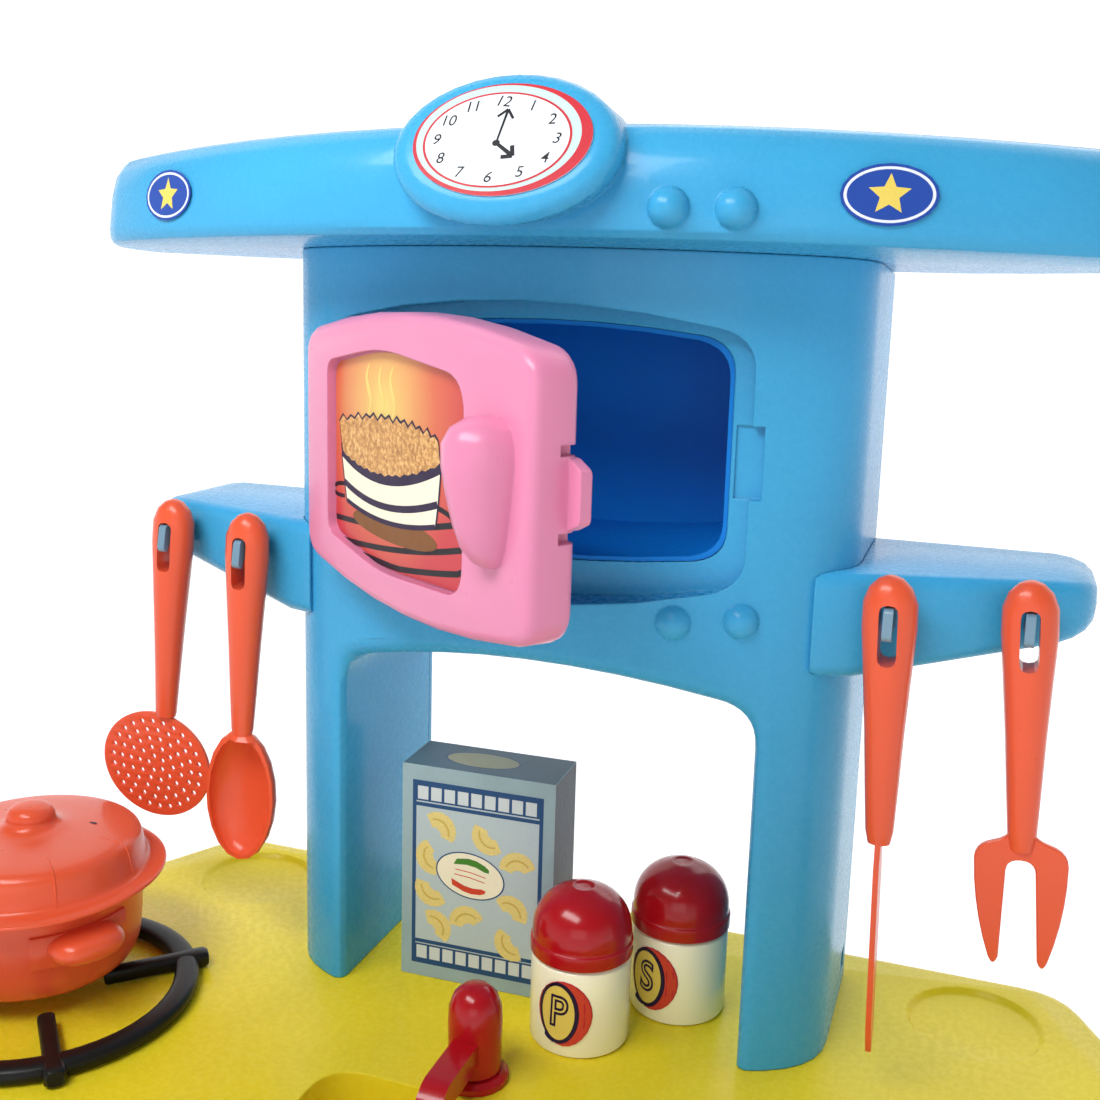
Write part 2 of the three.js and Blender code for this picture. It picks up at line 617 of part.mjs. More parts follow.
function buildKnife(spot) {
  const x = spot.x, y = spot.y - 15.5;
  const { body, slot } = handle(x, y);
  const blade = sideways(roundedPolygon([
    [y - 4, 534], [y - 9, 520], [y - 9, 440], [y - 2, 424], [y + 7, 432], [y + 8, 520], [y + 4, 534]],
  [1, 5, 10, 3, 6, 5, 1]), x - 1.3, x + 1.3, 0, 0, 4);
  hang('knife', cut(fuse(body, blade), slot), x, -1.5);
}

function buildFork(spot) {
  const x = spot.x, y = spot.y - 15.5;
  const { body, slot } = handle(x, y);
  const s = new THREE.Shape();
  s.moveTo(x - 4, 543);
  s.quadraticCurveTo(x - 5, 536.5, x - 12, 534.5);
  s.quadraticCurveTo(x - 20.7, 532, x - 20.7, 525);
  s.quadraticCurveTo(x - 20.5, 500, x - 13.2, 477);
  s.quadraticCurveTo(x - 10.8, 470.5, x - 8.6, 477);
  s.lineTo(x - 6.6, 520);
  s.quadraticCurveTo(x - 6.4, 526, x, 526);
  s.quadraticCurveTo(x + 6.4, 526, x + 6.6, 520);
  s.lineTo(x + 8.6, 477);
  s.quadraticCurveTo(x + 10.8, 470.5, x + 13.2, 477);
  s.quadraticCurveTo(x + 20.5, 500, x + 20.7, 525);
  s.quadraticCurveTo(x + 20.7, 532, x + 12, 534.5);
  s.quadraticCurveTo(x + 5, 536.5, x + 4, 543);
  s.closePath();
  const head = frontal(s, y - 1.6, y + 1.6, 0.6, 1, 5);
  hang('fork', cut(fuse(body, head), slot), x, -3);
}

// ---------------------------------------------------------------- pan, carton, shakers
function buildPan() {
  const z = TOP_Z + HOB_H + 0.5 + 2 * GAP;
  const rimZ = 51.5;
  const wall = turned([
    [0, 0], [41, 0], [48, 2.5], [53, 9], [55.6, 20], [57.5, rimZ], [55.3, rimZ], [53.4, 20.5],
    [50.8, 10.5], [47, 5], [40.5, 2.4], [0, 2.4]], 28);
  const ears = [0, 180].flatMap((deg) => [
    upright(roundedRect(-19, 19, 48, 75.5, 13), 26, 41, 5.5, 3, 5),
    frontal(roundedRect(-28, 28, 23, 41, 3), 46, 59, 0, 0, 3),
  ].map((g) => g.rotateZ(THREE.MathUtils.degToRad(deg))));
  const inside = turned([[0, 2.4], [40.5, 2.4], [47, 5], [50.8, 10.5], [53.4, 20.5], [55.5, 54], [0, 54]], 28);
  const pan = cut(fuse(wall, ...ears), inside);
  pan.rotateZ(THREE.MathUtils.degToRad(PAN_TURN));
  pan.translate(PAN.x, PAN.y, z);
  addPart('pan', pan, plastic(ORANGE));

  const lid = turned([
    [0, 20.8], [30, 20], [47, 18], [51, 14.5], [52.4, 1], [52.4, -2], [54.6, -2], [54.6, 0], [68.6, 0],
    [69.5, 1], [69, 2.2], [66, 2.9], [61.5, 3.8], [59.4, 5.8], [58.2, 11], [56.8, 17], [54.6, 20.4],
    [50, 22.4], [40, 23.6], [25, 24.6], [18.5, 25.6], [14, 27.6], [12.2, 30], [12.4, 32.4],
    [11.2, 35.4], [8, 37.4], [4, 38.3], [0, 38.5]], 28);
  lid.translate(PAN.x, PAN.y, z + rimZ + GAP);
  addPart('pan_lid', lid, plastic(ORANGE));
}

function buildCarton() {
  const carton = box(-44, 44, -18.5, 18.5, 0, 124);
  carton.rotateZ(THREE.MathUtils.degToRad(1.5));
  carton.translate(-40.5, 48, TOP_Z + GAP);
  addPart('food_carton', carton, plastic(0x8fb4cc, 0.6));
}

function buildShaker(name, x, y, turn) {
  const z = TOP_Z + GAP;
  const body = turned([[0, 0], [24.4, 0], [25.8, 1.4], [25.8, 45], [22.6, 46.9], [22.6, 52], [0, 52]], 24);
  body.translate(x, y, z);
  addPart(`${name}_body`, body, plastic(0xf3e8c8));
  const cap = turned([
    [0, 52 + GAP], [22.6 + GAP, 52 + GAP], [22.6 + GAP, 47.2], [26, 47.2], [26.6, 48.2], [26.6, 57],
    [25.6, 64.5], [22.2, 71.5], [15.8, 77.4], [8, 80.6], [0, 81.6]], 24);
  cap.translate(x, y, z);
  addPart(`${name}_cap`, cap, plastic(0xc0142c));

  // Oval sticker wrapped on the body.
  const sleeve = turned([[25.9, 3], [26.5, 3], [26.5, 45], [25.9, 45], [25.9, 3]], 48);
  const punch = new THREE.CylinderGeometry(1, 1, 40, 24).scale(14.2, 1, 17.4).translate(0, -25, 24.2);
  punch.rotateZ(THREE.MathUtils.degToRad(turn));
  const label = toGeometry(toSolid(sleeve).intersect(toSolid(punch)));
  label.translate(x, y, z);
  addPart(`${name}_label`, label, plastic(0xffffff));
}

// ---------------------------------------------------------------- assembly
buildTower();
buildHood();
buildArm('arm_left', -1);
buildArm('arm_right', 1);
buildPeg('peg_outer_left', -1, OUTER_PEG);
buildPeg('peg_inner_left', -1, INNER_PEG);
buildPeg('peg_inner_right', 1, INNER_PEG);
buildPeg('peg_outer_right', 1, OUTER_PEG);
buildDoor();
buildWorktop();
buildHob();
buildTap();
buildBase();
buildSkimmer(OUTER_PEG);
buildSpoon(INNER_PEG);
buildKnife(INNER_PEG);
buildFork(OUTER_PEG);
buildPan();
buildCarton();
buildShaker('pepper', 27.4, 10.3, -1);
buildShaker('salt', 67.8, 58, -19.5);

export default kitchen;
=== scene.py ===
"""Looks of the toy kitchen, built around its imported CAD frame."""
import json
import math

import bmesh
import bpy
from mathutils import Matrix, Vector
from mathutils.bvhtree import BVHTree


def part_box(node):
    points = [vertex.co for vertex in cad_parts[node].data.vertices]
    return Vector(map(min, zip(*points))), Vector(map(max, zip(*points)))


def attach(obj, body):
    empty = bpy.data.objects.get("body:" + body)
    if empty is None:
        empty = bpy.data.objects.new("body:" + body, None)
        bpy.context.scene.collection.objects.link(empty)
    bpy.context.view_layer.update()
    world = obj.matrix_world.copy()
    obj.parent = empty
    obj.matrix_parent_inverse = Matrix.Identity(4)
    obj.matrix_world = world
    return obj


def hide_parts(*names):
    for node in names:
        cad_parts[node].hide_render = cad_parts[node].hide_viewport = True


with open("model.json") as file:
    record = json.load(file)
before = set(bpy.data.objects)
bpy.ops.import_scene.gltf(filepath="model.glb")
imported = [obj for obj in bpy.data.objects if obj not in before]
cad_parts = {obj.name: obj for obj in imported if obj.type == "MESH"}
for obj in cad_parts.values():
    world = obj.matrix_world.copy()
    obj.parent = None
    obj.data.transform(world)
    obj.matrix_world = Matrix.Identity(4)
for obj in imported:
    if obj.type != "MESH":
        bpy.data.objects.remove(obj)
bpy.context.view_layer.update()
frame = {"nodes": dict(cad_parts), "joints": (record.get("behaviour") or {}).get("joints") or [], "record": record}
scene = bpy.context.scene

MM = 0.001
CLOCK_TILT = 27.0      # degrees that the clock face leans back
CARTON_TURN = 1.5      # degrees that the carton is turned on the worktop
LID_GAP = 0.3          # mm between the pan's rim and the lid
HOB_RADIUS = 75.0      # mm, middle of the ring's bar
SKIMMER_DISC = (36.5, 31.5)  # mm, half width and half height
HOLE_RINGS = ((4.6, 5), (10.0, 10), (15.4, 15), (20.8, 20), (26.0, 26))  # skimmer holes: radius mm, count

# ------------------------------------------------------------------ colours (linear)
BLUE = (0.050, 0.37, 0.66)
YELLOW = (0.80, 0.64, 0.02)
ORANGE = (0.80, 0.100, 0.034)
PINK = (0.72, 0.235, 0.395)
RED = (0.42, 0.005, 0.010)
CREAM = (1.0, 0.93, 0.68)
DEEP_BLUE = (0.002, 0.20, 0.66)


# ------------------------------------------------------------------ reading the frame
def door_turn():
    """Angle in radians between the closed door and the stored pose."""
    joint = next(j for j in frame["joints"] if j["name"] == "oven_door_hinge")
    return math.radians(joint["range_deg"][0])


def centre(node):
    low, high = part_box(node)
    return (Vector(low) + Vector(high)) / 2


# ------------------------------------------------------------------ materials
class Nodes:
    """Small helper that adds and links nodes of one material."""

    def __init__(self, name):
        self.mat = bpy.data.materials.new(name)
        self.mat.use_nodes = True
        self.tree = self.mat.node_tree
        self.bsdf = self.tree.nodes["Principled BSDF"]

    def add(self, kind):
        return self.tree.nodes.new(kind)

    def link(self, out, into):
        self.tree.links.new(out, into)

    def noise(self, scale, detail=3.0, roughness=0.5, vector=None):
        node = self.add("ShaderNodeTexNoise")
        node.inputs["Scale"].default_value = scale
        node.inputs["Detail"].default_value = detail
        node.inputs["Roughness"].default_value = roughness
        if vector is not None:
            self.link(vector, node.inputs["Vector"])
        return node

    def coords(self):
        return self.add("ShaderNodeTexCoord").outputs["Object"]

    def ramp(self, source, stops):
        node = self.add("ShaderNodeValToRGB")
        elements = node.color_ramp.elements
        while len(elements) < len(stops):
            elements.new(0.5)
        for element, (at, color) in zip(elements, stops):
            element.position = at
            element.color = (*color, 1)
        self.link(source, node.inputs["Fac"])
        return node.outputs["Color"]

    def range(self, source, low, high, from_low=0.0, from_high=1.0):
        node = self.add("ShaderNodeMapRange")
        limits = {"From Min": from_low, "From Max": from_high, "To Min": low, "To Max": high}
        for key, value in limits.items():
            node.inputs[key].default_value = value
        self.link(source, node.inputs["Value"])
        return node.outputs["Result"]

    def bump(self, height, strength, distance, normal=None):
        node = self.add("ShaderNodeBump")
        node.inputs["Strength"].default_value = strength
        node.inputs["Distance"].default_value = distance
        self.link(height, node.inputs["Height"])
        if normal is not None:
            self.link(normal, node.inputs["Normal"])
        return node.outputs["Normal"]

    def soft_edges(self, radius):
        node = self.add("ShaderNodeBevel")
        node.samples = 8
        node.inputs["Radius"].default_value = radius
        return node.outputs["Normal"]


def shade(color, k):
    """The colour made brighter or darker."""
    return tuple(min(1.0, c * k) for c in color)


def moulded(name, color, rough=0.22, mottle=0.06, ripple=0.00025, coat=0.3, edge=0.0, shine=0.5):
    """Moulded plastic: faint colour drift, uneven gloss, a slow ripple, fine grain and soft edges."""
    m = Nodes(name)
    at = m.coords()
    drift = m.noise(9.0, 4.0, 0.55, at)
    m.link(m.ramp(drift.outputs["Fac"], [(0.30, shade(color, 1 - mottle)), (0.70, shade(color, 1 + mottle))]),
           m.bsdf.inputs["Base Color"])
    scuff = m.noise(260.0, 6.0, 0.65, at)
    m.link(m.range(scuff.outputs["Fac"], rough * 0.9, rough * 1.2, 0.3, 0.7), m.bsdf.inputs["Roughness"])
    wave = m.noise(16.0, 1.0, 0.4, at)
    grain = m.noise(900.0, 2.0, 0.5, at)
    base = m.soft_edges(edge) if edge else None
    soft = m.bump(wave.outputs["Fac"], 0.12, ripple * 4, base)
    m.link(m.bump(grain.outputs["Fac"], 0.06, ripple * 0.06, soft), m.bsdf.inputs["Normal"])
    m.bsdf.inputs["Coat Weight"].default_value = coat
    m.bsdf.inputs["Coat Roughness"].default_value = 0.08
    m.bsdf.inputs["IOR"].default_value = 1.5
    m.bsdf.inputs["Specular IOR Level"].default_value = shine
    return m.mat


def printed(name, color, rough=0.36, speck=0.05, coat=0.05):
    """Printed film or board: ink density drift, fine print speckle and a faint fibre bump."""
    m = Nodes(name)
    at = m.coords()
    dots = m.noise(1600.0, 2.0, 0.6, at)
    m.link(m.ramp(dots.outputs["Fac"], [(0.30, shade(color, 1 - speck)), (0.70, shade(color, 1 + speck))]),
           m.bsdf.inputs["Base Color"])
    rub = m.noise(120.0, 4.0, 0.6, at)
    m.link(m.range(rub.outputs["Fac"], rough * 0.85, rough * 1.25, 0.3, 0.7), m.bsdf.inputs["Roughness"])
    m.link(m.bump(rub.outputs["Fac"], 0.15, 0.0001), m.bsdf.inputs["Normal"])
    m.bsdf.inputs["Coat Weight"].default_value = coat
    m.bsdf.inputs["Specular IOR Level"].default_value = 0.2
    return m.mat


def glow_print(name):
    """The door picture's ground: a yellow glow over the dish, fading to orange and red."""
    m = Nodes(name)
    at = m.coords()
    away = m.add("ShaderNodeVectorMath")
    away.operation = "DISTANCE"
    m.link(at, away.inputs[0])
    angle = door_turn()
    across = Vector((math.cos(angle), math.sin(angle), 0))
    away.inputs[1].default_value = centre("door_picture") - across * 14 * MM + Vector((0, 0, 24 * MM))
    cloud = m.noise(22.0, 3.0, 0.5, at)
    mixed = m.add("ShaderNodeMath")
    mixed.operation = "MULTIPLY_ADD"
    m.link(cloud.outputs["Fac"], mixed.inputs[0])
    mixed.inputs[1].default_value = 0.012
    m.link(away.outputs["Value"], mixed.inputs[2])
    m.link(m.ramp(m.range(mixed.outputs["Value"], 0.0, 1.0, 0.006, 0.085),
                  [(0.0, (0.72, 0.56, 0.13)), (0.32, (0.70, 0.33, 0.09)), (0.62, (0.62, 0.12, 0.045)),
                   (1.0, (0.52, 0.025, 0.035))]), m.bsdf.inputs["Base Color"])
    m.link(m.range(cloud.outputs["Fac"], 0.30, 0.38), m.bsdf.inputs["Roughness"])
    return m.mat


def crumb_print(name):
    """Printed pie crust: golden with brown crumbs."""
    m = Nodes(name)
    at = m.coords()
    crumbs = m.noise(420.0, 4.0, 0.7, at)
    m.link(m.ramp(crumbs.outputs["Fac"], [(0.34, (0.30, 0.115, 0.02)), (0.50, (0.56, 0.27, 0.06)),
                                          (0.66, (0.83, 0.52, 0.20))]), m.bsdf.inputs["Base Color"])
    m.link(m.bump(crumbs.outputs["Fac"], 0.3, 0.0002), m.bsdf.inputs["Normal"])
    m.bsdf.inputs["Roughness"].default_value = 0.35
    return m.mat


def board(name, color):
    """Printed carton board: soft drift, rubbed paler patches and a slight fibre bump."""
    m = Nodes(name)
    at = m.coords()
    drift = m.noise(30.0, 5.0, 0.6, at)
    m.link(m.ramp(drift.outputs["Fac"], [(0.28, shade(color, 0.90)), (0.72, shade(color, 1.10))]),
           m.bsdf.inputs["Base Color"])
    fibre = m.noise(700.0, 3.0, 0.6, at)
    m.link(m.range(fibre.outputs["Fac"], 0.42, 0.62), m.bsdf.inputs["Roughness"])
    m.link(m.bump(fibre.outputs["Fac"], 0.2, 0.0001, None), m.bsdf.inputs["Normal"])
    return m.mat


def brushed(name):
    """Plated steel with fine brush lines."""
    m = Nodes(name)
    at = m.coords()
    lines = m.noise(1500.0, 2.0, 0.5, at)
    m.link(m.ramp(lines.outputs["Fac"], [(0.3, (0.46, 0.47, 0.48)), (0.7, (0.62, 0.63, 0.64))]),
           m.bsdf.inputs["Base Color"])
    m.link(m.range(lines.outputs["Fac"], 0.25, 0.42), m.bsdf.inputs["Roughness"])
    m.bsdf.inputs["Metallic"].default_value = 1.0
    return m.mat


MATERIALS = {
    "blue_plastic": moulded("blue_plastic", BLUE, 0.26, coat=0.12, edge=1.6 * MM, shine=0.2),
    "deep_blue_plastic": moulded("deep_blue_plastic", DEEP_BLUE, 0.42, coat=0.0, shine=0.2),
    "peg_plastic": moulded("peg_plastic", (0.16, 0.28, 0.38), 0.35, edge=0.6 * MM),
    "steel": brushed("steel"),
    "clock_print": printed("clock_print", (0.76, 0.80, 0.86)),
    "badge_print": printed("badge_print", (0.02, 0.07, 0.36)),
    "yellow_plastic": moulded("yellow_plastic", YELLOW, 0.26, coat=0.0, edge=1.5 * MM, shine=0.2),
    "black_plastic": moulded("black_plastic", (0.006, 0.006, 0.005), 0.36, mottle=0.2, coat=0.0, shine=0.25),
    "red_plastic": moulded("red_plastic", RED, 0.20, coat=0.25, shine=0.3),
    "foot_plastic": moulded("foot_plastic", (0.03, 0.06, 0.12), 0.5, coat=0.0),
    "pink_plastic": moulded("pink_plastic", PINK, 0.30, mottle=0.03, coat=0.2, edge=1.2 * MM, shine=0.3),
    "door_print": glow_print("door_print"),
    "orange_plastic": moulded("orange_plastic", ORANGE, 0.30, mottle=0.03, coat=0.2, shine=0.35),
    "carton_board": board("carton_board", (0.30, 0.42, 0.46)),
    "cream_plastic": moulded("cream_plastic", CREAM, 0.2),
    "shaker_print": printed("shaker_print", (0.50, 0.018, 0.035)),
}
INK = {
    "ink_red": printed("ink_red", (0.52, 0.018, 0.032)),
    "ink_mint": printed("ink_mint", (0.50, 0.66, 0.66)),
    "ink_white": printed("ink_white", (0.76, 0.80, 0.86)),
    "ink_black": printed("ink_black", (0.006, 0.006, 0.010)),
    "ink_navy": printed("ink_navy", (0.018, 0.07, 0.19)),
    "ink_purple": printed("ink_purple", (0.016, 0.006, 0.04)),
    "ink_cream": printed("ink_cream", (0.86, 0.80, 0.62)),
    "ink_pasta": printed("ink_pasta", (0.74, 0.60, 0.22), speck=0.12),
    "ink_pasta_dark": printed("ink_pasta_dark", (0.60, 0.42, 0.10), speck=0.12),
    "ink_gold": printed("ink_gold", (0.78, 0.60, 0.12)),
    "ink_green": printed("ink_green", (0.06, 0.22, 0.03)),
    "ink_orange_red": printed("ink_orange_red", (0.62, 0.055, 0.03)),
    "ink_steam": printed("ink_steam", (0.88, 0.56, 0.16)),
    "ink_shadow": printed("ink_shadow", (0.20, 0.075, 0.015)),
    "ink_crumb": crumb_print("ink_crumb"),
    "board_dark": board("board_dark", (0.075, 0.09, 0.105)),
    "board_teal": board("board_teal", (0.075, 0.13, 0.16)),
    "ink_slate": printed("ink_slate", (0.045, 0.055, 0.075)),
    "ink_tan": printed("ink_tan", (0.34, 0.31, 0.18)),
    "ink_field": printed("ink_field", (0.46, 0.55, 0.58)),
    "ink_lilac": printed("ink_lilac", (0.60, 0.66, 0.68)),
}


def smooth(obj, degrees=32.0):
    """Smooth shading with edges sharper than the angle kept crisp; vertices stay as they are."""
    obj.data.polygons.foreach_set("use_smooth", [True] * len(obj.data.polygons))
    weld = obj.modifiers.new("weld", "WELD")
    weld.merge_threshold = 0.00002
    split = obj.modifiers.new("split", "EDGE_SPLIT")
    split.split_angle = math.radians(degrees)
    split.use_edge_sharp = False


def dress_cad_nodes():
    """Gives each CAD node its slot's material and smooth shading."""
    slots = {s["node"]: s["material_slot"] for s in frame["record"]["subparts"]}
    for name, obj in frame["nodes"].items():
        obj.data.materials.clear()
        obj.data.materials.append(MATERIALS[slots[name]])
        attribute = obj.data.attributes.get("custom_normal")
        if attribute:
            obj.data.attributes.remove(attribute)
        smooth(obj)


dress_cad_nodes()


# ------------------------------------------------------------------ geometry helpers
def new_piece(name, mesh, material, body):
    obj = bpy.data.objects.new(name, mesh)
    scene.collection.objects.link(obj)
    mesh.materials.clear()
    mesh.materials.append(material)
    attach(obj, body)
    return obj


def lathe_into(bm, profile, segments=96, origin=(0, 0, 0)):
    """Turns (radius, height) points in mm about Z."""
    origin = Vector(origin)
    rings = []
    for r, z in profile:
        if r < 1e-6:
            rings.append([bm.verts.new(origin + Vector((0, 0, z * MM)))])
            continue
        rings.append([bm.verts.new(origin + Vector((r * MM * math.cos(2 * math.pi * i / segments),
                                                    r * MM * math.sin(2 * math.pi * i / segments), z * MM)))
                      for i in range(segments)])
    for a, b in zip(rings, rings[1:]):
        for i in range(segments):
            j = (i + 1) % segments
            if len(a) == 1 and len(b) == 1:
                continue
            if len(a) == 1:
                bm.faces.new((a[0], b[i], b[j]))
            elif len(b) == 1:
                bm.faces.new((a[i], b[0], a[j]))
            else:
                bm.faces.new((a[i], b[i], b[j], a[j]))


def rounded(profile, steps=4):
    """Chaikin-style rounding of an open profile, its end points kept."""
    for _ in range(steps):
        out = [profile[0]]
        for (a, b), (c, d) in zip(profile, profile[1:]):
            out += [(a * 0.75 + c * 0.25, b * 0.75 + d * 0.25), (a * 0.25 + c * 0.75, b * 0.25 + d * 0.75)]
        profile = out + [profile[-1]]
    return profile


def bm_mesh(name, bm):
    bmesh.ops.recalc_face_normals(bm, faces=bm.faces)
    mesh = bpy.data.meshes.new(name)
    bm.to_mesh(mesh)
    bm.free()
    return mesh


def flat_mesh(name, loops, thick=0.0, round_edge=0.0):
    """Filled outline in the XY plane from closed loops of (u, v) in mm; inner loops become holes."""
    curve = bpy.data.curves.new(name, "CURVE")
    curve.dimensions = "2D"
    curve.fill_mode = "BOTH"
    curve.extrude = max(0.0, thick / 2 - round_edge) * MM
    curve.bevel_depth = round_edge * MM
    curve.bevel_resolution = 1
    curve.offset = -round_edge * MM
    for loop in loops:
        spline = curve.splines.new("POLY")
        spline.points.add(len(loop) - 1)
        for point, (u, v) in zip(spline.points, loop):
            point.co = (u * MM, v * MM, 0, 1)
        spline.use_cyclic_u = True
    return curve_mesh(curve)


def text_mesh(text, size, slant=0.0, thin=0.0):
    curve = bpy.data.curves.new("text_" + text, "FONT")
    curve.body = text
    curve.size = size * MM
    curve.align_x = "CENTER"
    curve.align_y = "CENTER"
    curve.shear = slant
    curve.offset = -thin * MM
    return curve_mesh(curve)


def curve_mesh(curve):
    holder = bpy.data.objects.new("holder", curve)
    scene.collection.objects.link(holder)
    bpy.context.view_layer.update()
    mesh = bpy.data.meshes.new_from_object(holder.evaluated_get(bpy.context.evaluated_depsgraph_get()))
    bpy.data.objects.remove(holder)
    return mesh


def circle(radius_u, radius_v=None, u=0.0, v=0.0, n=64):
    radius_v = radius_u if radius_v is None else radius_v
    return [(u + radius_u * math.cos(2 * math.pi * i / n), v + radius_v * math.sin(2 * math.pi * i / n))
            for i in range(n)]


def rect(u0, u1, v0, v1):
    return [(u0, v0), (u1, v0), (u1, v1), (u0, v1)]


def stroke(points, widths):
    """Outline of a line of (u, v) points with a width at each, in mm."""
    left, right = [], []
    for i, (u, v) in enumerate(points):
        a = points[max(0, i - 1)]
        b = points[min(len(points) - 1, i + 1)]
        du, dv = b[0] - a[0], b[1] - a[1]
        length = math.hypot(du, dv) or 1.0
        w = (widths[i] if isinstance(widths, (list, tuple)) else widths) / 2
        left.append((u - dv / length * w, v + du / length * w))
        right.append((u + dv / length * w, v - du / length * w))
    return left + right[::-1]


class Face:
    """A printed face: flat art in (u, v) mm is laid on an object along the face's normal."""

    def __init__(self, target, origin, u_axis, v_axis, body, slot, curved=False):
        bm = bmesh.new()
        bm.from_mesh(target.data)
        self.tree = BVHTree.FromBMesh(bm)
        bm.free()
        self.origin, self.u, self.v = Vector(origin), Vector(u_axis).normalized(), Vector(v_axis).normalized()
        self.normal = self.u.cross(self.v)
        self.body, self.slot, self.curved = body, slot, curved
        if not curved:
            self.origin = self.drop(self.origin)

    def drop(self, at):
        return self.tree.ray_cast(at + self.normal * 0.03, -self.normal, 0.06)[0] or at

    def lay(self, name, mesh, material, lift):
        bm = bmesh.new()
        bm.from_mesh(mesh)
        bmesh.ops.remove_doubles(bm, verts=bm.verts, dist=1e-7)
        if self.curved:
            bmesh.ops.triangulate(bm, faces=bm.faces)
            for _ in range(4):
                long = [e for e in bm.edges if e.calc_length() > 1.8 * MM]
                if not long:
                    break
                bmesh.ops.subdivide_edges(bm, edges=long, cuts=1, use_grid_fill=False)
                bmesh.ops.triangulate(bm, faces=bm.faces)
        for vert in bm.verts:
            at = self.origin + self.u * vert.co.x + self.v * vert.co.y
            vert.co = (self.drop(at) if self.curved else at) + self.normal * lift * MM
        out = bm_mesh(name, bm)
        if sum(p.normal.dot(self.normal) for p in out.polygons) < 0:
            out.flip_normals()
        return new_piece(name, out, material, self.body)


# ------------------------------------------------------------------ clock
NUMERAL_MID = (-1.6, -0.2)     # mm, middle of the ring of numbers
NUMERAL_HALF = (26.8, 18.0)    # mm, its half width and half height


def add_clock():
    tilt = math.radians(CLOCK_TILT)
    low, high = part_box("clock_label")
    half = (high[0] - low[0]) / 2 / MM
    mid = centre("clock_label")
    face = Face(frame["nodes"]["clock_label"], mid - Vector((0.8 * MM, 0, 0)), (1, 0, 0),
                (0, math.sin(tilt), math.cos(tilt)), "kitchen", "clock_print")

    def put(name, loops, ink, lift):
        face.lay("clock_" + name, flat_mesh("m", loops), INK[ink], lift)

    put("band_red", [circle(half, 26.7, 0.8, 0, 144)], "ink_red", 0.04)
    put("band_mint", [circle(36.5, 25.2, -0.9, 0.6, 144)], "ink_mint", 0.10)
    put("ring", [circle(33.0, 22.7, -1.2, -0.25, 144)], "ink_red", 0.16)
    put("dial", [circle(31.9, 21.8, -1.2, -0.25, 144)], "ink_white", 0.22)
    for i in range(12):
        hour = math.radians(30 * i)
        u = NUMERAL_MID[0] + NUMERAL_HALF[0] * math.sin(hour)
        v = NUMERAL_MID[1] + NUMERAL_HALF[1] * math.cos(hour)
        mesh = text_mesh(str(i or 12), 7.2, slant=0.16, thin=-0.03)
        turn = Matrix.Rotation(math.radians(-7 + (i * 5) % 14), 4, "Z")
        mesh.transform(Matrix.Translation((u * MM, v * MM, 0)) @ turn)
        face.lay(f"clock_number_{i or 12}", mesh, INK["ink_black"], 0.27)
    hub = (-0.9, -2.0)
    hands = (("minute", (1.4, 13.6), (0.9, 1.2), 3.6), ("hour", (7.2, -8.0), (1.5, 1.9), 3.4))
    for name, (u1, v1), width, head in hands:
        length = math.hypot(u1 - hub[0], v1 - hub[1])
        eu, ev = (u1 - hub[0]) / length, (v1 - hub[1]) / length
        put(f"{name}_hand", [stroke([(hub[0] - eu, hub[1] - ev), (u1, v1)], width)], "ink_black", 0.30)
        tip = (u1 + eu * 0.4, v1 + ev * 0.4)
        for k, side in enumerate((-1, 1)):
            wing = (u1 - eu * head + side * ev * head, v1 - ev * head - side * eu * head)
            put(f"{name}_head_{k + 1}", [stroke([wing, tip], width[1])], "ink_black", 0.32)
    put("hub", [circle(1.7, 1.5, *hub, 24)], "ink_black", 0.34)


# ------------------------------------------------------------------ badges on the hood
def add_badge(node):
    face = Face(frame["nodes"][node], centre(node), (1, 0, 0), (0, 0, 1), "kitchen", "badge_print", True)
    face.lay(node + "_ring", flat_mesh("m", [circle(17.6, 11.2, n=72), circle(16.4, 10.1, n=72)]),
             INK["ink_white"], 0.05)
    star = []
    for i in range(10):
        reach = 3.9 if i % 2 else 8.6
        star.append((reach * math.sin(math.pi * i / 5), reach * math.cos(math.pi * i / 5)))
    face.lay(node + "_star", flat_mesh("m", [star]), INK["ink_gold"], 0.06)


# ------------------------------------------------------------------ door picture
def arc(start, middle, end, n=16):
    """Points of a parabola that runs through three points, from start to end."""
    points = []
    for i in range(n + 1):
        t = i / n
        points.append(tuple((1 - t) * (1 - 2 * t) * a + 4 * t * (1 - t) * b + t * (2 * t - 1) * c
                            for a, b, c in zip(start, middle, end)))
    return points


CRUST_TOP = arc((-61, 14), (-8, 19), (38, 15), 26)
CRUST_BOTTOM = arc((40, 5), (-12, -6.5), (-57, -1), 26)
RIM_LOW = arc((-58, -3.4), (-12, -11), (41.3, 1.4))
DISH_BASE = arc((-52.6, -24), (-10, -28), (36, -22.2))
DISH_BAND = arc((-55.2, -15.4), (-12, -21), (38, -12.3))
RACK = (arc((-71, -34), (-5, -29), (64, -16)), arc((-76, -44.5), (-4, -39.5), (65, -26.6)),
        arc((-66, -51), (-5, -48), (65, -37)))
STEAM_FOOT = (-30, -17, -6)    # mm, where the three wisps start


def wisp(u):
    """A wavy rising line from the crust."""
    return [(u + 2.6 * math.sin(0.26 * rise) + 0.08 * rise, 19 + rise) for rise in range(0, 26, 2)]


def inside(points, half_u, half_v):
    """Points held within the picture sheet."""
    return [(max(-half_u, min(half_u, u)), max(-half_v, min(half_v, v))) for u, v in points]


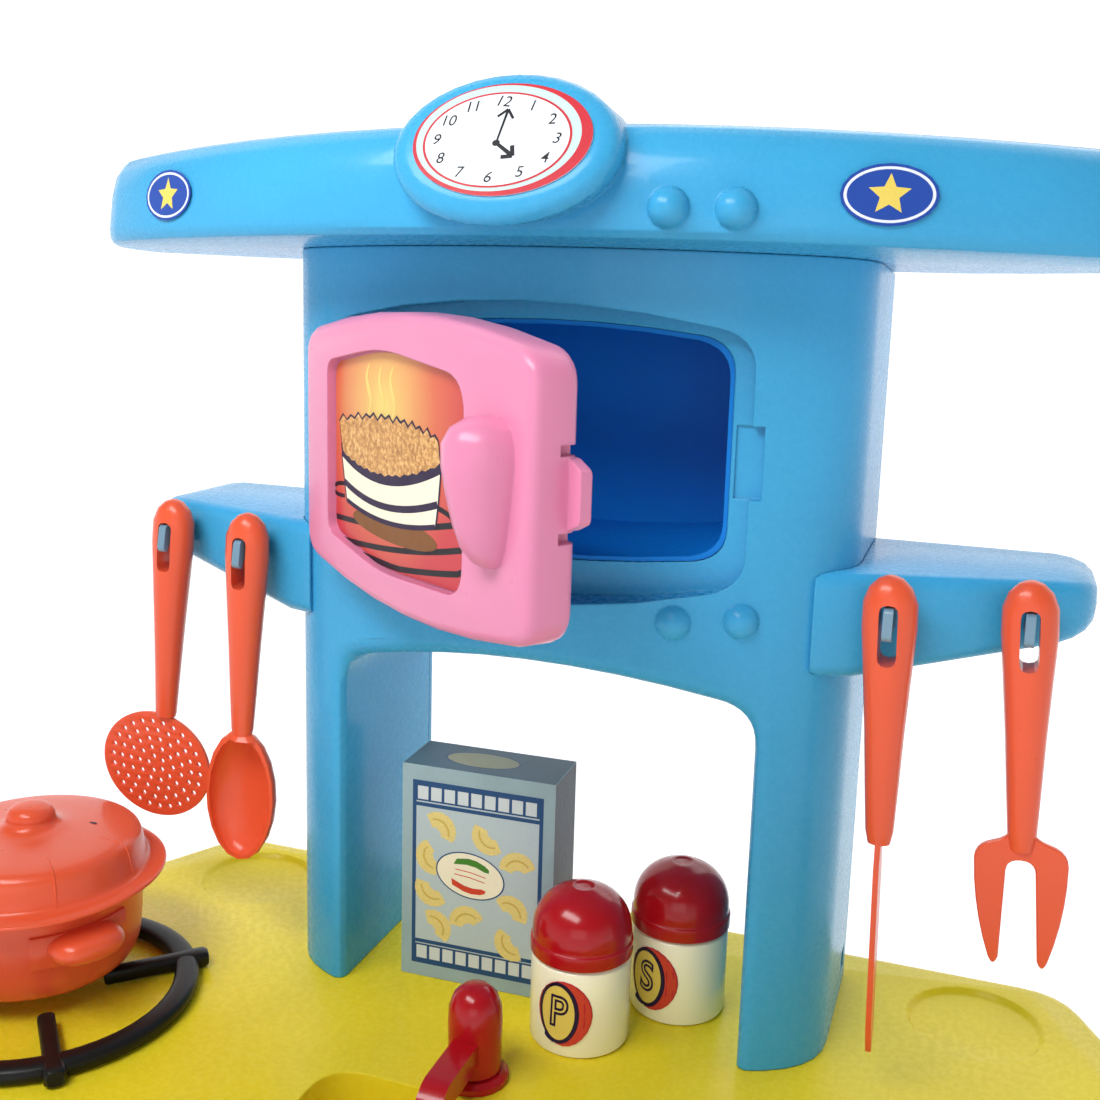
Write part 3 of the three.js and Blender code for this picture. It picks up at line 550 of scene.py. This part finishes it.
def add_door_picture():
    angle = door_turn()
    across = Vector((math.cos(angle), math.sin(angle), 0))
    low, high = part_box("door_picture")
    half_u = (high[0] - low[0]) / 2 / MM / math.cos(angle) - 0.6
    face = Face(frame["nodes"]["door_picture"], centre("door_picture"), across, (0, 0, 1),
                "oven_door", "door_print")

    def put(name, loops, ink, lift):
        face.lay("picture_" + name, flat_mesh("m", loops), INK[ink], lift)

    for k, line in enumerate(RACK):
        short = 5 if k == 2 else 0
        put(f"rack_{k + 1}", [stroke(inside(line, half_u - short, 47.5), 2.7)], "ink_black", 0.04)
    loop = rounded([(-55.4, -16.4), (-64, -17.2), (-69.6, -20.6), (-64, -23), (-55.4, -22.4)], 3)
    put("rack_left", [stroke(loop, 2.0)], "ink_black", 0.05)
    bend = rounded([(38, -13.7), (47.5, -14.8), (56, -18.4)], 3)
    put("rack_right", [stroke(bend, 2.4)], "ink_black", 0.05)
    put("shadow", [circle(42, 6.4, -4, -30.2)], "ink_shadow", 0.07)
    dish = [(-58, -2.8)] + DISH_BASE + [(38.8, -12.0), (41.3, 4)]
    put("dish", [dish], "ink_cream", 0.10)
    put("dish_rim", [RIM_LOW + [(41.2, 8), (10, 4), (-30, 2), (-59.5, 3)]], "ink_purple", 0.13)
    put("dish_band", [stroke(DISH_BAND, 3.2)], "ink_purple", 0.13)
    put("dish_base", [stroke(DISH_BASE, 2.3)], "ink_purple", 0.13)
    put("dish_left", [stroke([(-58.6, -2.0), (-55.6, -15), (-53.0, -24.5)], 0.9)], "ink_purple", 0.13)
    put("dish_right", [stroke([(41.0, 4.0), (38.8, -12), (36.6, -22.6)], 1.3)], "ink_purple", 0.13)
    edge = CRUST_TOP + CRUST_BOTTOM
    mid_u, mid_v = -9, 6
    jag = []
    for i, (u, v) in enumerate(edge):
        tooth = (1.3 if i % 2 else -0.9) + 0.5 * math.sin(i * 1.7)
        jag.append((u, v + tooth * (1 if v > mid_v else 0.45)))
    outline = [(mid_u + (u - mid_u) * 1.012, mid_v + 0.1 + (v - mid_v) * 1.09) for u, v in jag]
    put("crust_edge", [outline], "ink_purple", 0.16)
    put("crust", [jag], "ink_crumb", 0.19)
    for k, foot in enumerate(STEAM_FOOT):
        path = wisp(foot)
        widths = [0.6 + 2.4 * math.sin(math.pi * (i + 0.5) / len(path)) for i in range(len(path))]
        put(f"steam_{k + 1}", [stroke(path, widths)], "ink_steam", 0.07)


# ------------------------------------------------------------------ carton print
# Pasta bows: place in mm and turn in degrees.
PASTA = ((-21, 27, -30), (6, 26, 150), (-27, 10, 120), (24, 12, 20), (-27, -10, 160), (21, -14, -20),
         (-5, -24, 30), (-23, -31, -40), (20, -33, 140))


def add_carton_print():
    turn = math.radians(CARTON_TURN)
    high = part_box("food_carton")[1]
    mid = centre("food_carton")
    across = Vector((math.cos(turn), math.sin(turn), 0))
    depth = Vector((-math.sin(turn), math.cos(turn), 0))
    node = frame["nodes"]["food_carton"]
    front = Face(node, mid - depth * 0.0185, across, (0, 0, 1), "food_carton", "carton_board")

    def put(name, loops, ink, lift):
        front.lay("carton_" + name, flat_mesh("m", loops), INK[ink], lift)

    put("panel", [rect(-37.4, 37.2, -54.0, 53.0)], "ink_field", 0.03)
    put("frame", [rect(-37.8, 37.6, -54.4, 53.4), rect(-35.6, 35.4, -52.0, 51.0)], "ink_navy", 0.06)
    for row, (v0, v1, line) in enumerate(((41.6, 51.2, 38.6), (-52.2, -42.6, -42.0))):
        put(f"strip_{row + 1}", [rect(-35.7, 35.5, v0, v1)], "ink_navy", 0.05)
        put(f"strip_line_{row + 1}", [rect(-35.7, 35.5, line, line + 2.2)], "ink_navy", 0.05)
        squares = [rect(-34.8 + 7.8 * i, -34.8 + 7.8 * i + 6.2, v0 + 1.0, v1 - 1.0) for i in range(9)]
        put(f"squares_{row + 1}", squares, "ink_lilac", 0.09)
    for k, (u, v, deg) in enumerate(PASTA):
        a0 = math.radians(deg)
        for reach, wide, ink, lift in ((7.0, 10.5, "ink_pasta", 0.08), (7.4, 1.2, "ink_pasta_dark", 0.11)):
            bend = [(u + reach * math.cos(a0 + t * 0.30) - 3.5 * math.cos(a0 + 1.2),
                     v + reach * math.sin(a0 + t * 0.30) - 3.5 * math.sin(a0 + 1.2)) for t in range(10)]
            if ink == "ink_pasta_dark":
                bend = bend[1:-1]
            last = len(bend) - 1
            widths = [wide * (0.72 + 0.28 * math.sin(math.pi * i / last)) for i in range(last + 1)]
            put(f"{ink}_{k + 1}", [stroke(bend, widths)], ink, lift)
    lean = Matrix.Rotation(math.radians(-8), 2)

    def leaned(points):
        return [tuple(lean @ Vector((u, v)) + Vector((-3.5, 2.5))) for u, v in points]

    put("oval_edge", [leaned(circle(20.2, 13.2, n=96))], "ink_navy", 0.14)
    put("oval", [leaned(circle(19.4, 12.5, n=96))], "ink_cream", 0.17)
    green = rounded([(-9, 7.8), (0, 10.4), (10, 7.6), (10.6, 4.0), (0, 6.6), (-10.4, 4.2)], 1)
    put("ribbon_green", [leaned(green)], "ink_green", 0.20)
    red = rounded([(-10.4, -4.4), (0, -7.2), (10.4, -5.0), (9.6, -8.6), (0, -10.6), (-9.4, -8.0)], 1)
    put("ribbon_red", [leaned(red)], "ink_orange_red", 0.20)
    for k, v in enumerate((1.6, -1.4)):
        bar = stroke([(-9, v), (0, v + 0.5), (9, v)], 0.5)
        put(f"oval_line_{k + 1}", [leaned(bar)], "ink_orange_red", 0.20)

    top = Face(node, (mid.x, mid.y, high[2]), across, depth, "food_carton", "carton_board")
    top.lay("carton_top_print", flat_mesh("m", [rect(-43.7, 43.7, -18.2, 18.2)]), INK["board_teal"], 0.03)
    top.lay("carton_top_oval_edge", flat_mesh("m", [circle(21.6, 10.8, -4, 0, 96)]), INK["ink_navy"], 0.06)
    top.lay("carton_top_oval", flat_mesh("m", [circle(20.8, 10.0, -4, 0, 96)]), INK["ink_tan"], 0.09)
    side = Face(node, mid + across * 0.044, depth, (0, 0, 1), "food_carton", "carton_board")
    side.lay("carton_side_print", flat_mesh("m", [rect(-18.2, 18.2, -61.7, 61.7)]), INK["board_dark"], 0.03)
    for k in range(6):
        at = (1 + (k % 2) * 2, 44 - 17 * k)
        side.lay(f"carton_side_shape_{k + 1}",
                 flat_mesh("m", [circle(4.2, 5.6, *at, 32), circle(2.8, 4.0, *at, 32)]),
                 INK["ink_slate"], 0.06)


# ------------------------------------------------------------------ shakers
def add_shaker(name, letter, turn):
    axis = centre(name + "_cap")
    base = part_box(name + "_body")[0][2]
    height = (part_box(name + "_cap")[1][2] - base) / MM
    bm = bmesh.new()
    profile = [(24.8, 47.3), (26.2, 47.4), (26.6, 48.2), (26.6, 54.2), (26.2, 55.0), (25.7, 55.3),
               (25.6, 56.4), (25.7, 59), (25.0, 64.5), (22.9, 70.0), (19.2, 74.8), (14.4, 78.4), (9.2, 80.5),
               (6.2, height), (5.2, height - 0.1), (4.4, height - 0.9), (0, height - 1.3)]
    lathe_into(bm, [(0, 47.3)] + rounded(profile, 2), 96, (axis.x, axis.y, base))
    cap = new_piece(name + "_cap_shell", bm_mesh("m", bm), MATERIALS["red_plastic"],
                    name + "_cap")
    smooth(cap, 50)
    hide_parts(name + "_cap")

    bm = bmesh.new()
    profile = [(0, 0), (23.4, 0), (25.2, 0.6), (25.8, 2.2), (25.8, 44.6), (25.4, 45.6), (23.6, 46.7),
               (22.6, 47), (22.6, 51), (0, 51)]
    lathe_into(bm, profile, 96, (axis.x, axis.y, base))
    body = new_piece(name + "_bottle", bm_mesh("m", bm), MATERIALS["cream_plastic"], name)
    smooth(body, 40)
    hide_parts(name + "_body")

    label = frame["nodes"][name + "_label"]
    angle = math.radians(turn)
    out = Vector((math.sin(angle), -math.cos(angle), 0))
    across = Vector((0, 0, 1)).cross(out)
    front = Vector((axis.x, axis.y, centre(name + "_label").z)) + out * 26.5 * MM
    face = Face(label, front, across, (0, 0, 1), name, "shaker_print", True)

    def put(what, loops, ink, lift):
        face.lay(f"{name}_print_{what}", flat_mesh("m", loops), INK[ink], lift)

    put("disc", [circle(13.7, 17.0, n=84)], "ink_orange_red", 0.03)
    put("dark", [circle(10.8, 16.6, -2.6, 0, 84)], "ink_purple", 0.07)
    put("gold", [circle(8.9, 14.6, -2.9, 0, 84)], "ink_gold", 0.11)
    layers = (("letter_edge", -0.85, "ink_purple", 0.15), ("letter", 0.55, "ink_gold", 0.19))
    for what, thin, ink, lift in layers:
        mesh = text_mesh(letter, 23.0, slant=0.04, thin=thin)
        mesh.transform(Matrix.Translation((-2.9 * MM, 0, 0)) @ Matrix.Diagonal((0.84, 1, 1, 1)))
        face.lay(f"{name}_{what}", mesh, INK[ink], lift)


# ------------------------------------------------------------------ pan, lid and hob ring
def squared(value, power):
    """A sine or cosine pushed outwards, so that a round section becomes squarer."""
    return math.copysign(abs(value) ** power, value)


def ear_into(bm, angle, centre_xy, z):
    """A plump rounded lobe with a flat plate behind it, standing out of the pan's wall."""
    cu = Vector((math.cos(angle), math.sin(angle), 0))
    cv = Vector((-math.sin(angle), math.cos(angle), 0))
    base = Vector((centre_xy[0], centre_xy[1], z))
    n, m = 40, 14
    rings = []
    for j in range(m + 1):
        t = math.pi * j / m
        z_off, shrink = -7.4 * math.cos(t), math.sin(t) ** 0.55
        ring = []
        for i in range(n):
            a = 2 * math.pi * i / n
            ca, sa = math.cos(a), math.sin(a)
            u = 60.5 + 14.8 * squared(ca, 0.8) * shrink
            v = 18.9 * squared(sa, 0.72) * shrink
            ring.append(bm.verts.new(base + (cu * u + cv * v + Vector((0, 0, 33.6 + z_off))) * MM))
        rings.append(ring)
    for a, b in zip(rings, rings[1:]):
        for i in range(n):
            j = (i + 1) % n
            bm.faces.new((a[i], b[i], b[j], a[j]))
    bm.faces.new(rings[0])
    bm.faces.new(rings[-1][::-1])
    plate = []
    for v in range(-27, 28, 3):
        r = 58.9
        a = angle + v / r
        out = Vector((math.cos(a), math.sin(a), 0))
        section = ((54.5, 23.5), (r - 0.6, 23.5), (r, 24.4), (r, 40.0), (r - 0.6, 40.8), (54.5, 40.8))
        plate.append([bm.verts.new(base + (out * rr + Vector((0, 0, zz))) * MM) for rr, zz in section])
    for a, b in zip(plate, plate[1:]):
        for i in range(6):
            j = (i + 1) % 6
            bm.faces.new((a[i], a[j], b[j], b[i]))
    bm.faces.new(plate[0])
    bm.faces.new(plate[-1][::-1])


def add_pan():
    lid_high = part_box("pan_lid")[1]
    mid = centre("pan_lid")
    pan_low, pan_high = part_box("pan")
    z = pan_low[2]
    rim = (pan_high[2] - z) / MM
    bm = bmesh.new()
    outer = [(0, 0), (38, 0), (48.5, 1.2), (54.2, 8.5), (55.8, 22), (57.0, rim - 6), (57.5, rim - 0.8),
             (57.0, rim)]
    inner = [(55.4, rim), (55.2, rim - 1), (53.4, 20.5), (50.8, 10.5), (47, 5), (40.5, 2.4), (0, 2.4)]
    lathe_into(bm, rounded(outer, 3) + inner, 128, (mid.x, mid.y, z))
    for angle in (-25, 155):
        ear_into(bm, math.radians(angle), (mid.x, mid.y), z)
    pan = new_piece("pan_shell", bm_mesh("m", bm), MATERIALS["orange_plastic"], "pan")
    smooth(pan, 42)
    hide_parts("pan")

    foot = z + (rim + LID_GAP) * MM
    top = (lid_high[2] - foot) / MM
    bm = bmesh.new()
    under = [(0, 20.8), (30, 20), (47, 18), (51, 14.5), (52.4, 1), (52.4, -2), (54.6, -2), (54.6, 0)]
    over = [(68.2, 0), (69.3, 0.3), (69.5, 1), (69.2, 2.0), (66, 2.9), (61.8, 3.5), (59.6, 5.2), (58.4, 10),
            (57.2, 16.2), (55.6, 19.8), (51.5, 22.2), (40, 23.6), (27, 24.5), (19.5, 25.4), (14.4, 27.4),
            (12.4, 30), (12.6, 32.6), (11.2, 35.6), (7.6, 37.8), (3, top), (0, top)]
    lathe_into(bm, under + rounded(over, 2), 128, (mid.x, mid.y, foot))
    for angle in (-38, -82, 8):
        a = math.radians(angle)
        out, side = Vector((math.cos(a), math.sin(a), 0)), Vector((-math.sin(a), math.cos(a), 0))
        rib = [(40.5, 23.7), (51.6, 22.5), (55.9, 20.0), (57.6, 16.2), (58.8, 10), (60.0, 5.2), (61.0, 4.2)]
        rows = []
        for r, h in rib:
            at = Vector((mid.x, mid.y, foot + h * MM)) + out * r * MM
            rows.append([bm.verts.new(at + side * s * MM - (out * d + Vector((0, 0, d))) * MM)
                         for s, d in ((-0.9, 0.7), (-0.3, 0.0), (0.3, 0.0), (0.9, 0.7))])
        for p, q in zip(rows, rows[1:]):
            for i in range(3):
                bm.faces.new((p[i], p[i + 1], q[i + 1], q[i]))
    lid = new_piece("pan_lid_shell", bm_mesh("m", bm), MATERIALS["orange_plastic"],
                    "pan_lid")
    smooth(lid, 42)
    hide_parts("pan_lid")
    # Painted shade: a flat near-black oval on the lid's top stands in for the dark inside of the vent hole, which
    # is not cut.
    above = Vector((mid.x + 26 * MM, mid.y + 18 * MM, lid_high[2]))
    vent = Face(lid, above, (1, 0, 0), (0, 1, 0), "pan_lid", "orange_plastic")
    vent.lay("pan_lid_vent_painted_shade", flat_mesh("m", [circle(2.6, 0.9, n=24)]), INK["ink_purple"], 0.25)


def add_hob_ring():
    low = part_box("pan_support")[0]
    mid = centre("pan_support")
    foot = Vector((mid.x, mid.y, low[2]))
    bm = bmesh.new()
    n, m = 128, 20
    rings = []
    for i in range(n):
        a = 2 * math.pi * i / n
        ring = []
        for j in range(m):
            t = 2 * math.pi * j / m
            r = HOB_RADIUS + 6.6 * squared(math.cos(t), 0.75)
            h = 4.7 + 4.6 * squared(math.sin(t), 0.75)
            ring.append(bm.verts.new(foot + Vector((r * math.cos(a), r * math.sin(a), h)) * MM))
        rings.append(ring)
    for i in range(n):
        a, b = rings[i], rings[(i + 1) % n]
        for j in range(m):
            k = (j + 1) % m
            bm.faces.new((a[j], b[j], b[k], a[k]))
    for deg in (45, 135, 225, 315):
        a = math.radians(deg)
        out, side = Vector((math.cos(a), math.sin(a), 0)), Vector((-math.sin(a), math.cos(a), 0))
        stations = [(32, 0.86), (33.4, 1.0), (60, 1.0), (76, 1.06), (82, 1.25), (85.6, 1.2), (87.6, 0.85)]
        rows = []
        for r, k in stations:
            ring = []
            for j in range(16):
                t = 2 * math.pi * j / 16
                s = 4.5 * k * squared(math.cos(t), 0.6)
                h = 5.0 + min(4.7, 4.4 * k) * squared(math.sin(t), 0.6)
                ring.append(bm.verts.new(foot + (out * r + side * s + Vector((0, 0, h))) * MM))
            rows.append(ring)
        for p, q in zip(rows, rows[1:]):
            for j in range(16):
                k = (j + 1) % 16
                bm.faces.new((p[j], p[k], q[k], q[j]))
        bm.faces.new(rows[0])
        bm.faces.new(rows[-1][::-1])
    ring = new_piece("hob_ring", bm_mesh("m", bm), MATERIALS["black_plastic"], "kitchen")
    smooth(ring, 50)
    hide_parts("pan_support")


# ------------------------------------------------------------------ skimmer
def add_skimmer():
    """The CAD skimmer's handle with a finer disc, pierced by rings of small holes."""
    mid_y = centre("skimmer").y
    peg = centre("peg_outer_left")
    tilt = math.radians(4.4)
    pivot = Vector((peg.x, 0, 0.640))
    lean = Matrix.Translation(pivot) @ Matrix.Rotation(tilt, 4, "Y") @ Matrix.Translation(-pivot)
    hub = Vector((peg.x - 0.005, mid_y, 0.4985))
    loops = [circle(*SKIMMER_DISC, n=144)]
    for ring, count in HOLE_RINGS:
        for i in range(count):
            a = 2 * math.pi * (i + 0.5 * (count % 2)) / count
            loops.append(circle(1.45, None, 1.16 * ring * math.cos(a), ring * math.sin(a), 14))
    disc = flat_mesh("m", loops, 2.4, 0.4)
    disc.transform(lean @ Matrix.Translation(hub) @ Matrix.Rotation(math.radians(90), 4, "X"))
    bm = bmesh.new()
    bm.from_mesh(frame["nodes"]["skimmer"].data)
    bmesh.ops.remove_doubles(bm, verts=bm.verts, dist=1e-5)
    neck = lean @ (hub + Vector((0, 0, (SKIMMER_DISC[1] - 0.3) * MM)))
    bmesh.ops.bisect_plane(bm, geom=bm.verts[:] + bm.edges[:] + bm.faces[:], plane_co=neck,
                           plane_no=lean.to_3x3() @ Vector((0, 0, 1)), clear_inner=True)
    bm.from_mesh(disc)
    piece = new_piece("skimmer_with_holes", bm_mesh("m", bm), MATERIALS["orange_plastic"],
                      "skimmer")
    smooth(piece, 40)
    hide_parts("skimmer")


add_clock()
add_badge("badge_left")
add_badge("badge_right")
add_door_picture()
add_carton_print()
add_shaker("pepper", "P", -1)
add_shaker("salt", "S", -19.5)
add_pan()
add_hob_ring()
add_skimmer()


# ------------------------------------------------------------------ stage
def add_camera():
    """Camera at the height of the hood's underside, turned left and slightly down."""
    yaw, pitch, roll = (math.radians(a) for a in (19.3, 10.3, 1.6))
    forward = Vector((-math.sin(yaw) * math.cos(pitch), math.cos(yaw) * math.cos(pitch), -math.sin(pitch)))
    level = Vector((math.cos(yaw), math.sin(yaw), 0))
    above = level.cross(forward)
    right = level * math.cos(roll) + above * math.sin(roll)
    up = above * math.cos(roll) - level * math.sin(roll)
    data = bpy.data.cameras.new("camera")
    data.sensor_width = 36
    data.lens = 41.8
    data.shift_y = -0.0273
    data.clip_start, data.clip_end = 0.02, 60
    cam = bpy.data.objects.new("camera", data)
    scene.collection.objects.link(cam)
    cam.matrix_world = Matrix.Translation((0.2074, -0.5717, 0.7815)) @ Matrix(
        (right, up, -forward)).transposed().to_4x4()
    scene.camera = cam


def add_light(name, place, target, size, power, color=(1, 1, 1)):
    data = bpy.data.lights.new(name, "AREA")
    data.shape = "RECTANGLE"
    data.size, data.size_y = size
    data.energy = power
    data.color = color
    lamp = bpy.data.objects.new(name, data)
    scene.collection.objects.link(lamp)
    lamp.location = place
    lamp.rotation_euler = (Vector(target) - Vector(place)).to_track_quat("-Z", "Y").to_euler()


def add_stage():
    """Pale floor, backdrop and horizon, a soft light over the front, a weak fill and a back light."""
    m = Nodes("studio_paint")
    grain = m.noise(3.0, 4.0, 0.5, m.coords())
    pale = m.ramp(grain.outputs["Fac"], [(0.3, (0.86, 0.86, 0.87)), (0.7, (0.9, 0.9, 0.91))])
    m.link(pale, m.bsdf.inputs["Base Color"])
    m.link(pale, m.bsdf.inputs["Emission Color"])
    m.bsdf.inputs["Emission Strength"].default_value = 0.62
    m.bsdf.inputs["Roughness"].default_value = 0.9
    for name, place, turn in (("floor", (0, 0, -0.0005), 0), ("backdrop", (0, 6, 0), 90)):
        bpy.ops.mesh.primitive_plane_add(size=40, location=place, rotation=(math.radians(turn), 0, 0))
        sheet = bpy.context.object
        sheet.name = name
        sheet.data.materials.append(m.mat)

    world = bpy.data.worlds.new("studio")
    world.use_nodes = True
    tree = world.node_tree
    sky = tree.nodes["Background"]
    split = tree.nodes.new("ShaderNodeSeparateXYZ")
    fade = tree.nodes.new("ShaderNodeValToRGB")
    fade.color_ramp.elements[0].position, fade.color_ramp.elements[1].position = 0.08, 0.45
    fade.color_ramp.elements[0].color = (0.80, 0.80, 0.81, 1)
    fade.color_ramp.elements[1].color = (0.16, 0.16, 0.16, 1)
    tree.links.new(tree.nodes.new("ShaderNodeTexCoord").outputs["Generated"], split.inputs[0])
    tree.links.new(split.outputs["Z"], fade.inputs["Fac"])
    tree.links.new(fade.outputs["Color"], sky.inputs["Color"])
    sky.inputs["Strength"].default_value = 1.0
    scene.world = world
    add_light("key", (-0.25, -0.62, 1.36), (0, -0.10, 0.80), (0.8, 0.3), 8.5)
    add_light("fill", (0.35, -1.9, 0.9), (0, 0, 0.5), (1.2, 0.8), 2.5)
    add_light("back", (0.4, 2.2, 2.6), (0, 0.5, 0.4), (2.4, 1.6), 12)
    scene.view_settings.view_transform = "Standard"


add_camera()
add_stage()
